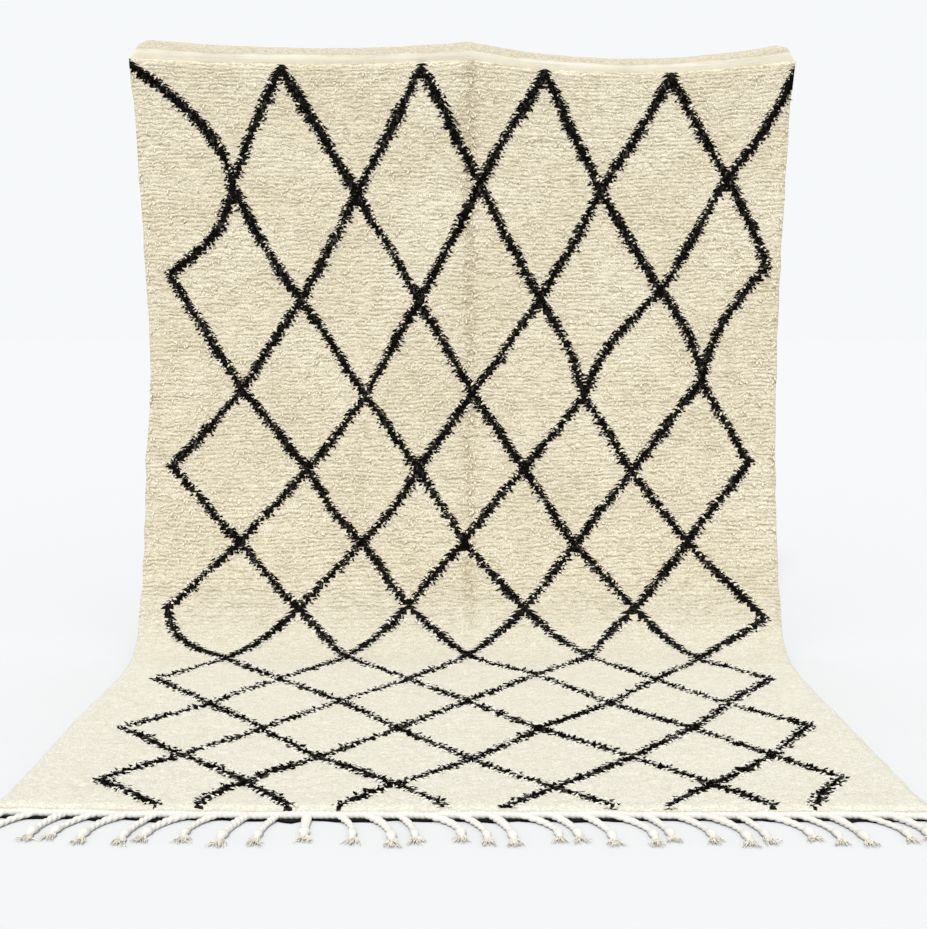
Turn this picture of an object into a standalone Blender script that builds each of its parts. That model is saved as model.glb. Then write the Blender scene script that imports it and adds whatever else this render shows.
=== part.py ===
"""Beni Ourain rug held up along its far edge: an upright hang, a soft bend, a floor run and a tasselled front end.

The pile faces the front and the top.  +X runs across the rug, +Y away from its front end and +Z up, in metres.
The rug is worked out from its side profile, walked from the front end, and from its width at places along it.
"""
import math

import bmesh
import bpy

# ---- driving dimensions -------------------------------------------------------------------------------------
THICKNESS = 0.024               # ground cloth and pile together
BAND_SET_BACK = 0.015           # the plain band at the held end lies this far behind the pile's face
BAND_EASE = 0.025               # length over which the pile thins into the band
EDGE_THINNING = 0.55            # share of the thickness left where the pile rounds off at an edge
EDGE_ROUNDING = 0.016           # how far in from an edge the pile reaches its full height
COLUMNS = 22                    # facets across the rug

# The pile face from the side: each stretch's name, its length along the rug, the direction that it turns to at
# its end (degrees above the horizontal) and its number of facets.
PROFILE = (
    ("floor run", 1.065, 0.0, 9),
    ("bend", 0.215, 60.0, 9),
    ("rise", 0.170, 74.0, 4),
    ("lower hang", 0.320, 81.0, 4),
    ("middle hang", 0.500, 88.0, 5),
    ("upper hang", 0.730, 93.0, 8),
    ("band", 0.050, 70.0, 3),
    ("crest", 0.048, 0.0, 4),
    ("turn over", 0.054, -100.0, 5),
    ("flap", 0.085, -96.0, 2),
)
PILE_STRETCHES = 6              # the first stretches carry the pile, and the rest are the plain band
PILE_LENGTH = sum(length for _, length, _, _ in PROFILE[:PILE_STRETCHES])

# The hand-woven width: distance along the rug from its front end, and the reach to the left and to the right.
WIDTHS = (
    (0.00, 0.998, 0.990),
    (0.10, 0.988, 0.979),
    (0.525, 0.994, 0.973),
    (0.925, 0.985, 0.965),
    (1.275, 1.004, 0.984),
    (1.775, 1.004, 0.987),
    (1.975, 0.990, 0.989),
    (2.275, 0.995, 0.994),
    (2.575, 1.009, 1.002),
    (2.875, 1.020, 1.011),
    (3.000, 1.028, 1.021),
    (3.045, 1.006, 1.000),
    (3.095, 0.972, 0.966),
    (3.245, 0.965, 0.960),
)

# Where the far edge is held up: position across, and how much lower than the highest grip it is.
GRIPS = ((-0.990, 0.000), (0.020, 0.006), (0.995, 0.012))
SAGS = (0.018, 0.044)           # how far the edge hangs down between neighbouring grips
BELLIES = (0.012, 0.018)        # how far the cloth falls back between neighbouring grips
SAG_POWER = 6                   # how quickly the sag dies out below the edge

# The soft lengthwise crease down the middle of the hang.
CREASE_ACROSS = 0.012
CREASE_DEPTH = 0.005
CREASE_HALF_WIDTH = 0.060
CREASE_SPAN = (1.225, 2.985)
CREASE_FADE = 0.15

# The front end's left corner lies a little behind the rest of it.
SKEW = 0.022
SKEW_START = -0.30
SKEW_FADE = 0.90

# The fringe: a hem cord along the front end, with twisted tassels that fan out a little on the floor.
GAP = 0.0003                    # between the rug and its fringe
# The hem cord's section, a little above the floor: distance in front of the rug, and height.
HEM_PROFILE = ((0.000, 0.005), (0.015, 0.005), (0.015, 0.014), (0.011, 0.018), (0.004, 0.019), (0.000, 0.015))
TASSELS = 31
TASSEL_LENGTH = 0.128
LENGTH_WAVE = 0.012             # tassels differ in length by this much
FAN_CENTRE = -0.34              # tassels left of this lean left, and the others lean right
FAN_EASE = 0.11
FAN_LEAN = 0.055                # sideways reach of a tassel's tip
FAN_BEND = 2.1                  # a tassel leaves the hem nearly along it, and bends to the front
# A tassel from its root to its tip: share of its length, width and height, with the knot near the frayed end.
TASSEL_SHAPE = (
    (0.00, 0.015, 0.009),
    (0.15, 0.014, 0.010),
    (0.40, 0.013, 0.010),
    (0.70, 0.012, 0.009),
    (0.77, 0.017, 0.012),
    (0.83, 0.013, 0.008),
    (1.00, 0.025, 0.007),
)

WOOL = (0.80, 0.74, 0.60, 1.0)
FRINGE_WOOL = (0.88, 0.86, 0.80, 1.0)


def clear_scene():
    for found in list(bpy.data.objects):
        bpy.data.objects.remove(found, do_unlink=True)


def wool_material(name, colour):
    material = bpy.data.materials.new(name)
    material.use_nodes = True
    shader = material.node_tree.nodes["Principled BSDF"]
    shader.inputs["Base Color"].default_value = colour
    shader.inputs["Roughness"].default_value = 0.95
    shader.inputs["Metallic"].default_value = 0.0
    return material


def finish_object(name, mesh, material, origin):
    """Turns a bmesh into a shaded object under the origin."""
    bmesh.ops.recalc_face_normals(mesh, faces=mesh.faces)
    data = bpy.data.meshes.new(name)
    mesh.to_mesh(data)
    mesh.free()
    data.materials.append(material)
    data.shade_smooth()
    data.set_sharp_from_angle(angle=math.radians(50))
    made = bpy.data.objects.new(name, data)
    made.parent = origin
    bpy.context.collection.objects.link(made)
    return made


# ---- the rug's surface --------------------------------------------------------------------------------------
def ease(value):
    """A smooth step from 0 to 1."""
    held = min(max(value, 0.0), 1.0)
    return held * held * (3.0 - 2.0 * held)


def interpolate(table, place, column):
    """Reads a column of a table whose rows start with a place, held constant past its ends."""
    if place <= table[0][0]:
        return table[0][column]
    for low, high in zip(table, table[1:]):
        if place <= high[0]:
            share = (place - low[0]) / (high[0] - low[0])
            return low[column] + (high[column] - low[column]) * share
    return table[-1][column]


def profile_sections():
    """Walks the profile: a list of (along, y, z, direction in radians) on the pile face."""
    along, y, z, angle = 0.0, 0.0, THICKNESS, 0.0
    sections = [(along, y, z, angle), (EDGE_ROUNDING, EDGE_ROUNDING, z, angle)]
    for _, length, end_degrees, facets in PROFILE:
        start, end = angle, math.radians(end_degrees)
        step = length / facets
        for index in range(facets):
            middle = start + (end - start) * (index + 0.5) / facets
            along += step
            y += step * math.cos(middle)
            z += step * math.sin(middle)
            angle = start + (end - start) * (index + 1) / facets
            sections.append((along, y, z, angle))
    return sections


def between_grips(across, amounts):
    """A parabola between each two neighbouring grips, as deep as its amount."""
    for (left, _), (right, _), amount in zip(GRIPS, GRIPS[1:], amounts):
        if left <= across <= right:
            share = (across - left) / (right - left)
            return amount * 4.0 * share * (1.0 - share)
    return 0.0


def crease(across, along):
    """How far the middle crease sinks below the pile face."""
    reach = abs(across - CREASE_ACROSS) / CREASE_HALF_WIDTH
    start, end = CREASE_SPAN
    fade = ease((along - start) / CREASE_FADE) * ease((end - along) / CREASE_FADE)
    return CREASE_DEPTH * (1.0 - ease(reach)) * fade


def skew(across, along):
    """How far back the front end's left corner lies."""
    reach = max(SKEW_START - across, 0.0) / (1.0 + SKEW_START)
    return SKEW * reach * reach * (1.0 - ease(along / SKEW_FADE))


def face_depth(along, edge_share):
    """How far the cloth's face lies below the full pile height: in the band, at the sides and at the front end."""
    full = THICKNESS - BAND_SET_BACK * ease((along - PILE_LENGTH) / BAND_EASE)
    front_share = EDGE_THINNING + (1.0 - EDGE_THINNING) * ease(along / EDGE_ROUNDING)
    return THICKNESS - full * min(edge_share, front_share)


def cloth_point(across, section, top, depth):
    """A point of the cloth at a depth below the full pile height, on a profile whose highest point is top."""
    along, y, z, angle = section
    lift = max((z - THICKNESS) / (top - THICKNESS), 0.0) ** SAG_POWER
    below = depth + crease(across, along)
    drop = between_grips(across, SAGS) + interpolate(GRIPS, across, 1)
    return (
        across,
        y + below * math.sin(angle) + between_grips(across, BELLIES) * lift + skew(across, along),
        z - below * math.cos(angle) - drop * lift,
    )


def column_places(along):
    """Positions across the rug at one section, with the share of the thickness that each keeps."""
    left = -interpolate(WIDTHS, along, 1)
    right = interpolate(WIDTHS, along, 2)
    inner_left = left + EDGE_ROUNDING
    inner_width = right - EDGE_ROUNDING - inner_left
    inner = [(inner_left + inner_width * index / COLUMNS, 1.0) for index in range(COLUMNS + 1)]
    return [(left, EDGE_THINNING)] + inner + [(right, EDGE_THINNING)]


def build_rug(origin):
    """The rug as one closed sheet: a grid for its face, one for its back, and walls round the edge."""
    sections = profile_sections()
    top = max(z for _, _, z, _ in sections)
    mesh = bmesh.new()
    face, back = [], []
    for section in sections:
        along = section[0]
        places = column_places(along)
        face.append([mesh.verts.new(cloth_point(across, section, top, face_depth(along, share)))
                     for across, share in places])
        back.append([mesh.verts.new(cloth_point(across, section, top, THICKNESS)) for across, _ in places])
    last_row, last_column = len(face) - 1, len(face[0]) - 1
    for grid in (face, back):
        for row in range(last_row):
            for column in range(last_column):
                mesh.faces.new((grid[row][column], grid[row][column + 1],
                                grid[row + 1][column + 1], grid[row + 1][column]))
    for row in range(last_row):
        for column in (0, last_column):
            mesh.faces.new((face[row][column], face[row + 1][column], back[row + 1][column], back[row][column]))
    for column in range(last_column):
        for row in (0, last_row):
            mesh.faces.new((face[row][column], face[row][column + 1], back[row][column + 1], back[row][column]))
    finish_object("rug", mesh, wool_material("ivory wool", WOOL), origin)


# ---- the fringe ---------------------------------------------------------------------------------------------
def tassel_rings(root, index):
    """The sections of one tassel past its root: four corners each, from the lower left round to the upper left."""
    lean = FAN_LEAN * math.tanh((root - FAN_CENTRE) / FAN_EASE) * (1.0 + 0.25 * math.sin(2.3 * index))
    length = TASSEL_LENGTH + LENGTH_WAVE * math.sin(1.7 * index)
    hem_front = HEM_PROFILE[1][0]
    rings = []
    for share, width, height in TASSEL_SHAPE[1:]:
        middle = root + lean * (1.0 - (1.0 - share) ** FAN_BEND)
        y = -GAP - hem_front - length * share + skew(root, 0.0)
        corners = ((-1, 0), (1, 0), (1, 1), (-1, 1))
        rings.append([(middle + side * width / 2, y, up * height) for side, up in corners])
    return rings


def build_fringe(origin):
    """The comb along the front end: a hem cord whose front face grows a tassel at every root."""
    left, right = -WIDTHS[0][1], WIDTHS[0][2]
    pitch = (right - left) / TASSELS
    root_width = TASSEL_SHAPE[0][1]
    roots = [left + pitch * (index + 0.5) for index in range(TASSELS)]
    borders = [left] + [root + side * root_width / 2 for root in roots for side in (-1, 1)] + [right]
    mesh = bmesh.new()
    hem = []
    for border in borders:
        back = skew(border, 0.0) - GAP
        hem.append([mesh.verts.new((border, back - forward, up)) for forward, up in HEM_PROFILE])
    corners = len(HEM_PROFILE)
    for index, (ring, following) in enumerate(zip(hem, hem[1:])):
        for corner in range(corners):
            after = (corner + 1) % corners
            is_root = corner == 1 and index % 2 == 1
            if not is_root:
                mesh.faces.new((ring[corner], following[corner], following[after], ring[after]))
    mesh.faces.new(hem[0])
    mesh.faces.new(hem[-1])
    for index, root in enumerate(roots):
        start, end = hem[1 + 2 * index], hem[2 + 2 * index]
        ring = [start[1], end[1], end[2], start[2]]
        for places in tassel_rings(root, index):
            following = [mesh.verts.new(place) for place in places]
            for corner in range(4):
                after = (corner + 1) % 4
                mesh.faces.new((ring[corner], ring[after], following[after], following[corner]))
            ring = following
        mesh.faces.new(ring)
    finish_object("fringe", mesh, wool_material("fringe wool", FRINGE_WOOL), origin)


def centre_on_floor(origin, made):
    """Moves the origin so that the rug and fringe together stand centred on the row's origin."""
    corners = [vertex.co for piece in made for vertex in piece.data.vertices]
    for axis in (0, 1):
        values = [corner[axis] for corner in corners]
        origin.location[axis] = -(min(values) + max(values)) / 2


def main():
    clear_scene()
    origin = bpy.data.objects.new("rug_origin", None)
    bpy.context.collection.objects.link(origin)
    build_rug(origin)
    build_fringe(origin)
    centre_on_floor(origin, origin.children)


main()
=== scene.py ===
"""The looks of the Beni Ourain rug: pile, lattice, ground cloth, hem cord and tassels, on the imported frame.

The rug is worked out in its own flat sizes first: "across" runs from its left side to its right, "along" from
its front end to its held end, and "depth" goes down from the full pile height to the back.  bend_cloth() then
bends that flat rug into the shape that it hangs and lies in, which is the shape of the frame's "rug" node.
"""
import math

import bpy
import numpy as np
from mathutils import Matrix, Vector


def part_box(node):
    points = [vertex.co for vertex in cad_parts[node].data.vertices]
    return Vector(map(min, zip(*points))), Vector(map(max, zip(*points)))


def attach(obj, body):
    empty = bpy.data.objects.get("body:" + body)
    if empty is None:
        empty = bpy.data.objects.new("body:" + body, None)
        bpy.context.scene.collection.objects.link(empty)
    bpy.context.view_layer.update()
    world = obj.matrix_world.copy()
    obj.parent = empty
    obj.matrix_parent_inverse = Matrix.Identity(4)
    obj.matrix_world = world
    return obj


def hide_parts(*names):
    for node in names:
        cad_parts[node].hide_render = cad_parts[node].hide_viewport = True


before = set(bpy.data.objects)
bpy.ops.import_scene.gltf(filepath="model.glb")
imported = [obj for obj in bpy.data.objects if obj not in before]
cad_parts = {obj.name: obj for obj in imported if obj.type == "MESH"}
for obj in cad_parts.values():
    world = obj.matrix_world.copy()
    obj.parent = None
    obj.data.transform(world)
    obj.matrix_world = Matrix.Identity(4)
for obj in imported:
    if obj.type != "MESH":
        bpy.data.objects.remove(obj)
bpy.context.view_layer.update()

RUG_LOW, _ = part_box("rug")

# ---- the shape of the rug, in metres, as in the construction ----
THICKNESS = 0.024  # ground cloth and pile together
BAND_SET_BACK = 0.015  # the plain band at the held end lies this far behind the pile's face
BAND_EASE = 0.025
# The pile face from the side: length along the rug, and the direction it turns to, in degrees from level.
PROFILE = (
    (1.065, 0.0),  # floor run
    (0.215, 60.0),  # bend
    (0.170, 74.0),  # rise
    (0.320, 81.0),  # lower hang
    (0.500, 88.0),  # middle hang
    (0.730, 93.0),  # upper hang
    (0.050, 70.0),  # band
    (0.048, 0.0),  # crest
    (0.054, -100.0),  # turn over
    (0.085, -96.0),  # flap
)
PILE_STRETCHES = 6  # the first stretches carry the pile, and the rest are the plain band
FLOOR_LENGTH = PROFILE[0][0]
PILE_LENGTH = sum(length for length, _ in PROFILE[:PILE_STRETCHES])
RUG_LENGTH = sum(length for length, _ in PROFILE)
# Distance along the rug, and its reach to the left and to the right.
WIDTHS = np.array((
    (0.00, 0.998, 0.990),
    (0.10, 0.988, 0.979),
    (0.525, 0.994, 0.973),
    (0.925, 0.985, 0.965),
    (1.275, 1.004, 0.984),
    (1.775, 1.004, 0.987),
    (1.975, 0.990, 0.989),
    (2.275, 0.995, 0.994),
    (2.575, 1.009, 1.002),
    (2.875, 1.020, 1.011),
    (3.000, 1.028, 1.021),
    (3.045, 1.006, 1.000),
    (3.095, 0.972, 0.966),
    (3.245, 0.965, 0.960),
))
# The side edges stray a little from that, in waves of this length.
SIDE_WANDER = 0.0022
SIDE_WAVE = 0.055
# Where the held end is gripped and how much lower than the highest grip it is there, and how far it sags and
# falls back between neighbouring grips.
GRIPS = np.array(((-0.990, 0.000), (0.020, 0.006), (0.995, 0.012)))
SAGS = (0.018, 0.044)
BELLIES = (0.012, 0.018)
SAG_POWER = 6
# The soft lengthwise crease down the middle of the hang.
CREASE_ACROSS = 0.012
CREASE_DEPTH = 0.005
CREASE_HALF_WIDTH = 0.060
CREASE_SPAN = (1.225, 2.985)
CREASE_FADE = 0.15
# The front end's left corner lies a little behind the rest of it.
SKEW = 0.022
SKEW_START = -0.30
SKEW_FADE = 0.90

# ---- the lattice, charted crossing by crossing in centimetres ----
# One row for each row of crossings, from the held end down: their positions across, and along.
LATTICE = (
    ((-103, -56, -13, 25, 64, 102), (298.5, 298.5, 298.5, 298.5, 298.5, 296.5)),
    ((-72, -33, 5, 43, 82), (262.5, 259.5, 262.5, 260.5, 264.5)),
    ((-92, -51, -14, 24, 62, 95), (234.5, 226.5, 226.5, 226.5, 229.5, 236.5)),
    ((-70, -31, 3, 38, 75), (198.5, 196.5, 197.5, 196.5, 201.5)),
    ((-92, -49, -14, 19, 53, 90), (174.5, 173.5, 173.5, 173.5, 172.5, 175.5)),
    ((-70, -32, 0, 35, 70), (150.5, 150.5, 150.5, 149.5, 150.5)),
    ((-92, -51, -17, 19, 53, 93), (129.5, 129.5, 130.5, 129.5, 129.5, 126.5)),
    ((-71, -35, 1, 38, 70), (110.5, 111.5, 112.5, 111.5, 109.5)),
    ((-86.5, -52, -15, 21, 54, 86.5), (90.5, 90.5, 90.5, 94.5, 89.5, 90.5)),
    ((-67, -33, 1, 39, 70), (68.5, 70.5, 70.5, 68.5, 68.5)),
    ((-85, -50, -16, 19, 57, 86.5), (49, 49, 49, 49, 49, 51)),
    ((-66, -34, 2, 39, 72), (30.5, 29.5, 27.5, 29.5, 30.5)),
    ((-81, -48, -15, 20, 55, 84), (14.8, 14.8, 13, 11, 13, 16.8)),
    ((-55, -32, 2, 38, 70), (-6, -4, -4, -3, -4)),
)
# Lines that bow: the row they start from, the crossing there, the one that they run to in the next row, and
# how far they bow to the right of straight, in centimetres.
BOWS = (
    (0, 0, 0, 7.0), (0, 5, 4, 1.5), (0, 1, 0, -0.7),
    (1, 0, 0, 5.0), (1, 4, 5, 1.2), (1, 0, 1, -1.5),
    (2, 5, 4, -4.0), (2, 4, 3, -3.5), (2, 4, 4, 3.0), (2, 3, 3, 2.0),
    (3, 0, 0, 1.0), (4, 1, 1, -1.5), (4, 2, 1, 2.0),
    (6, 0, 0, -5.0), (6, 5, 4, -1.5), (6, 4, 3, -1.5),
    (12, 1, 0, -3.5),
)
# Along the rug, and half the width of a line there without its ragged edge.
LINE_HALF_WIDTH = np.array((
    (0.0, 0.0116), (0.9, 0.0104), (1.2, 0.0108), (1.6, 0.0123), (2.1, 0.0130), (2.5, 0.0136), (3.0, 0.0165),
))
LINE_END = 0.012  # the lines stop this far from the front end
LINE_TAPER = (0.70, 0.040)  # share of its width that a line keeps at its front end, and how far it tapers
LINE_STEPS = 24  # pieces that a line between two crossings is drawn in
LINE_WANDER = 0.006  # how far the weaver strays from the chart
LINE_SWELL = 0.22  # how much a line's width comes and goes
FIELD_STEP = 0.003  # grid of the field that says how far a knot is from the nearest line
FIELD_REACH = 0.060
FIELD_CORNER = (-1.10, -0.05)  # where it starts, and its size
FIELD_SIZE = (2.20, 3.20)

# ---- the pile ----
RIB_PITCH = 0.0132  # one row of knots
# The rows waver by these noises: how much of a row, and the noise's size across and along.
RIB_WAVER = ((0.55, 0.33, 0.16), (0.34, 0.085, 0.045), (0.26, 0.026, 0.018))
BROKEN_WAVER = (0.45, 0.011, 0.012)  # the same where they are broken up
KNOT_PITCH = 0.0080
KNOT_JITTER = 0.4  # how unevenly the knots lie, as a share of that
KNOTS_REACH = 1.04  # knots are laid out this far to each side
KNOT_MARGIN = 0.006  # and end this far from the rug's edges
BAND_MARGIN = 0.004  # or from the plain band
PILE_CLEARANCE = 0.0015  # the ribs' crests lie this far below the full pile height
RIB_HEIGHT = 0.0034
LUMP_HEIGHT = 0.0044
HANG_STEP = RIB_PITCH / 4  # grid of the pile's surface along the hang
FLOOR_STEP = 0.0058
COLUMNS = 330
# The pile's edge turns down to the ground cloth: depth, and how far in from the rug's edge.
RIM = np.array(((0.0210, 0.0020), (0.0160, 0.0000), (0.0110, 0.0008)))
TOP_INSET = 0.0045
EDGE_ROUNDING = 0.006  # how much lower the pile's surface is at the very edge
EDGE_REACH = 0.014
FRONT_ROUNDING = 0.0085  # the same at the front end
FRONT_REACH = 0.020
FRONT_SIDE_SHADE = (0.001, 0.007)  # painted shade on the pile's front side, full up to the first of these and gone by the second
PILE_SPLITS = (0.0, 1.27, 1.84, 2.41, PILE_LENGTH)  # the pile is made as one strip between each two
# Painted shade makes the wool a little darker on the bend and the lower hang, which the key light lights
# more strongly: from where to where that fades, and its amount before and after.
SHADED_BEND = (1.28, 1.46, 0.30, 0.0)
SHADED_HANG = (1.35, 2.60, 0.32, 0.03)
SHADED_START = (1.02, 1.12)  # there is no such painted shade in front of this stretch
FLOOR_LIT_REACH = (1.08, 1.42)  # the wool is painted paler on the floor than above this stretch, as painted light for the stronger light on the floor run
MIDDLE_ACROSS = 0.020  # where the ribs are broken up, down the middle of the hang
MIDDLE_HALF_WIDTH = 0.024

# ---- locks of wool that stand out of the pile ----
TUFT_LENGTH = 0.0165
TUFT_WIDTH = 0.0072
TUFT_SPLAY = 0.42  # how far locks lean to the sides
TUFT_LENGTHS = (0.75, 1.2)  # the shortest and the longest, next to that
TUFT_WIDTHS = (0.75, 1.25)
TUFT_RINGS = ((0.0, 0.85), (0.52, 1.0))  # share of a lock's length, and of its width there
TUFT_FLATNESS = 0.62
HANG_LAY = 0.78  # how far they lie down, on the hang and on the floor
FLOOR_LAY = 0.30
LOCK_DEPTH = 0.0060  # their roots lie this deep
EDGE_PUSH = 1.25  # how far locks at the edge of a line lean out of it
EDGE_BAND = 0.007  # how wide that edge is
RAGGED = 0.0038  # how far a line's edge strays from knot to knot
RAGGED_CELL = 0.021  # the knots that stray together, across
RAGGED_LOCKS = 0.0045  # how far it strays from lock to lock
LINE_SOFTNESS = 0.0006
TOOTH = 0.0115  # how far a line's edge runs out and back within one row of knots
LOCK_SPLIT = 1.30  # the locks in front of here are those of the floor
SLOPE_STEP = 0.004  # how far to each side a line's edge is felt for
STRAY_SHARE = 0.22  # share of the other ivory knots on the hang whose locks stand out
STRAY_START = (1.32, 0.20)  # where they start, and how far it is until they are all there

# ---- the ground cloth ----
GROUND_THICKNESS = 0.0035
GROUND_INSET = 0.002
GROUND_ROWS = 260
GROUND_COLUMNS = 110
BAND_SLACK = 0.0016  # low waves in the plain band
CREST_START = PILE_LENGTH + 0.034  # from here on the band is rougher, and darker with painted shade where it folds over
SHADOW_WEB_REACH = 0.0330  # how far the ground's end runs on under the hem cord, painted black as the shadow there
SHADOW_WEB_ROWS = 5
SHADOW_WEB_RAGGED = (0.74, 0.26)  # share of that reach in the middle, and how much it wanders
SHADOW_WEB_START = 0.0035  # the ground's end is painted black as the shadow under the hem cord up to here
BACK_RAGGED = 0.016  # how far the lattice's edge strays from knot to knot on the back

# ---- the hem cord and its tassels ----
HEM_GAP = 0.0003  # between the rug's front edge and the hem cord
HEM_RADIUS = 0.0084
HEM_HEIGHT = 0.0092  # of its middle above the floor
HEM_WANDER = 0.0014  # how far it strays from straight
HEM_TURNS_PITCH = 0.0125  # the wrapping of the hem goes round once in this length
HEM_RINGS = 1500
HEM_SIDES = 10
HEM_END_EASE = 0.010  # the cord thins out over this length at its ends
TASSELS = 31
TASSEL_LENGTH = 0.128
LENGTH_WAVE = 0.012
TASSEL_ENDS = (-0.998, 0.990)  # the first half pitch starts and the last one ends here
FAN_CENTRE = -0.34  # tassels to the left of here lie to the left, and the others to the right
FAN_EASE = 0.11
FAN_LEAN = 0.055
FAN_BEND = 2.1  # a tassel leaves the hem nearly along it, and bends to the front
PEEL_START = 0.012  # its yarns come out of the hem this far back along it
PEEL_FORWARD = 1.30
# Share of the tassel's length, half its width, half its height, and how deep its twist shows.
TASSEL_FORM = np.array((
    (0.00, 0.0060, 0.0048, 0.20),
    (0.08, 0.0088, 0.0062, 0.40),
    (0.22, 0.0092, 0.0064, 0.60),
    (0.42, 0.0080, 0.0058, 0.65),
    (0.62, 0.0066, 0.0052, 0.60),
    (0.68, 0.0090, 0.0068, 0.25),
    (0.73, 0.0098, 0.0072, 0.15),
    (0.78, 0.0070, 0.0054, 0.20),
    (0.84, 0.0056, 0.0046, 0.30),
))
TASSEL_BULK = (1.08, 0.14)  # how thick the tassels are next to that, and how much it differs
TASSEL_RINGS = 44
TASSEL_SIDES = 12
TWIST_PITCH = 0.026  # each cord is two yarns laid round each other, once in this length
FRAY_STRANDS = 25
FRAY_START = 0.78
FRAY_RINGS = 6
FRAY_SPREAD = 0.0170
STRAND_RADIUS = 0.0012
STRAND_SIDES = 4

# ---- colours, linear ----
# painted highlights on single strands
WOOL_STRAND_HIGHLIGHT = (0.930, 0.890, 0.765)
WOOL_CREST = (0.895, 0.843, 0.676)
WOOL_BODY = (0.808, 0.746, 0.569)
# painted shade for the bend and the lower hang, where the key light falls more strongly
WOOL_SHADED = (0.646, 0.621, 0.512)
# painted shade of the pile's valleys and hollows, and of the gaps between strands
WOOL_VALLEY_SHADE = (0.380, 0.302, 0.186)
# painted light: the same wool as it looks lit on the floor run
WOOL_FLOOR_LIT = (0.762, 0.747, 0.656)
# painted shade: the rows' shadows and the pile's front side
WOOL_SHADE_TAN = (0.560, 0.455, 0.300)
# Locks of wool: the root, darker as painted shade, the tip, and what some of them come nearer to.
IVORY_LOCKS = ((0.600, 0.530, 0.385), (0.870, 0.815, 0.672), (0.690, 0.620, 0.470))
# the floor's locks, painted paler as painted light on the floor run
FLOOR_LIT_LOCKS = ((0.600, 0.575, 0.485), (0.800, 0.788, 0.700), (0.680, 0.662, 0.570))
# black in painted shade: in the gaps of the pile, at the locks' roots and under the hem cord
BLACK_DEEP_SHADE = (0.0008, 0.0006, 0.0005)
BLACK_TIP = (0.0060, 0.0048, 0.0036)
BLACK_SHEEN = (0.0880, 0.0800, 0.0720)
BAND_LIGHT = (0.700, 0.662, 0.548)
BAND_WARM = (0.650, 0.605, 0.487)
BAND_LINE = (0.420, 0.350, 0.235)
# painted shade where the band folds over at its crest
CREST_FOLD_SHADE = (0.590, 0.545, 0.432)
BACK_WEFT = (0.120, 0.095, 0.062)
FRINGE_LIGHT = (0.665, 0.655, 0.620)
FRINGE_WARM = (0.545, 0.510, 0.430)
FRINGE_END = (0.740, 0.690, 0.560)
FRINGE_FLECK = (0.210, 0.125, 0.062)
FLOOR_COLOUR = (0.600, 0.604, 0.609)
SKY_COLOUR = (0.922, 0.940, 0.956)

# ---- the grain of the wool: factors across and along, then scale, detail, roughness and distortion ----
FIBRES = (1.0, 0.7, 330.0, 3.0, 0.7, 0.0)
LOCKS = (1.0, 1.7, 112.0, 4.0, 0.66, 1.9)
SWAY = (1.0, 1.0, 46.0, 2.0, 0.55, 0.0)  # how the rows' shadows sway
BREAKS = (1.0, 2.6, 17.0, 3.0, 0.62, 0.0)  # where they are broken off
PATCHES = (1.0, 1.0, 3.4, 3.0, 0.6, 0.0)
WEFT = (6.0, 260.0, 1.0, 2.0, 0.5, 0.0)
WARP = (420.0, 30.0, 1.0, 2.0, 0.5, 0.0)
RIDGES = (5.0, 95.0, 1.0, 3.0, 0.6, 0.5)
BACK_KNOTS = (120.0, 76.0, 1.0, 1.0, 0.4, 0.0)
CREST_GRAIN = (1.0, 1.6, 130.0, 4.0, 0.66, 1.4)
CLOUDS = (1.0, 1.0, 7.0, 3.0, 0.6, 0.0)

# ---- the stage, the light and the camera, in metres, degrees and watts ----
FLOOR_REACH = 40.0
FLOOR_DROP = -0.0002
SKY_STRENGTH = 1.0
KEY_STRENGTH = 2.50
KEY_ANGLE = 12.0
KEY_TURN = (38.0, 0.0, -10.0)  # how the key light is turned from straight down
CAMERA_DISTANCE = 2.449  # in front of the rug's front edge
CAMERA_HEIGHT = 1.055
CAMERA_PITCH = 7.2
CAMERA_LENS = 47.4


# ---- noise and interpolation ----
def ease(value):
    """A smooth step from 0 to 1."""
    held = np.clip(value, 0.0, 1.0)
    return held * held * (3.0 - 2.0 * held)


def blend(first, second, share):
    return first * (1 - share) + second * share


def unit(vectors):
    return vectors / np.linalg.norm(vectors, axis=-1, keepdims=True)


def smooth_noise(x, y, seed):
    """Value noise from -1 to 1 with features one unit across."""
    side = 256
    table = np.random.default_rng(seed).uniform(-1.0, 1.0, (side, side))
    column, row = np.floor(x).astype(int), np.floor(y).astype(int)
    right, up = ease(x - column), ease(y - row)

    def level(line):
        return blend(table[line % side, column % side], table[line % side, (column + 1) % side], right)

    return blend(level(row), level(row + 1), up)


def line_noise(x, seed):
    """The same along a line."""
    return smooth_noise(x, np.zeros_like(x), seed)


# ---- the cloth's shape ----
def walk_profile(step=0.002):
    """The pile face from the side: columns along, y, z and direction in radians."""
    rows = [(0.0, 0.0, THICKNESS, 0.0)]
    for length, end_degrees in PROFILE:
        along, y, z, start = rows[-1]
        end = math.radians(end_degrees)
        count = max(2, round(length / step))
        for index in range(count):
            middle = start + (end - start) * (index + 0.5) / count
            y += length / count * math.cos(middle)
            z += length / count * math.sin(middle)
            rows.append((along + length * (index + 1) / count, y, z,
                         start + (end - start) * (index + 1) / count))
    return np.array(rows)


WALK = walk_profile()
WALK_TOP = WALK[:, 2].max()
ORIGIN = np.array((RUG_LOW[0] + WIDTHS[:, 1].max(), RUG_LOW[1], 0.0))  # the flat rug's zero, in the frame


def reach_left(along):
    return np.interp(along, WIDTHS[:, 0], WIDTHS[:, 1]) + SIDE_WANDER * line_noise(along / SIDE_WAVE, 81)


def reach_right(along):
    return np.interp(along, WIDTHS[:, 0], WIDTHS[:, 2]) + SIDE_WANDER * line_noise(along / SIDE_WAVE, 82)


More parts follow.
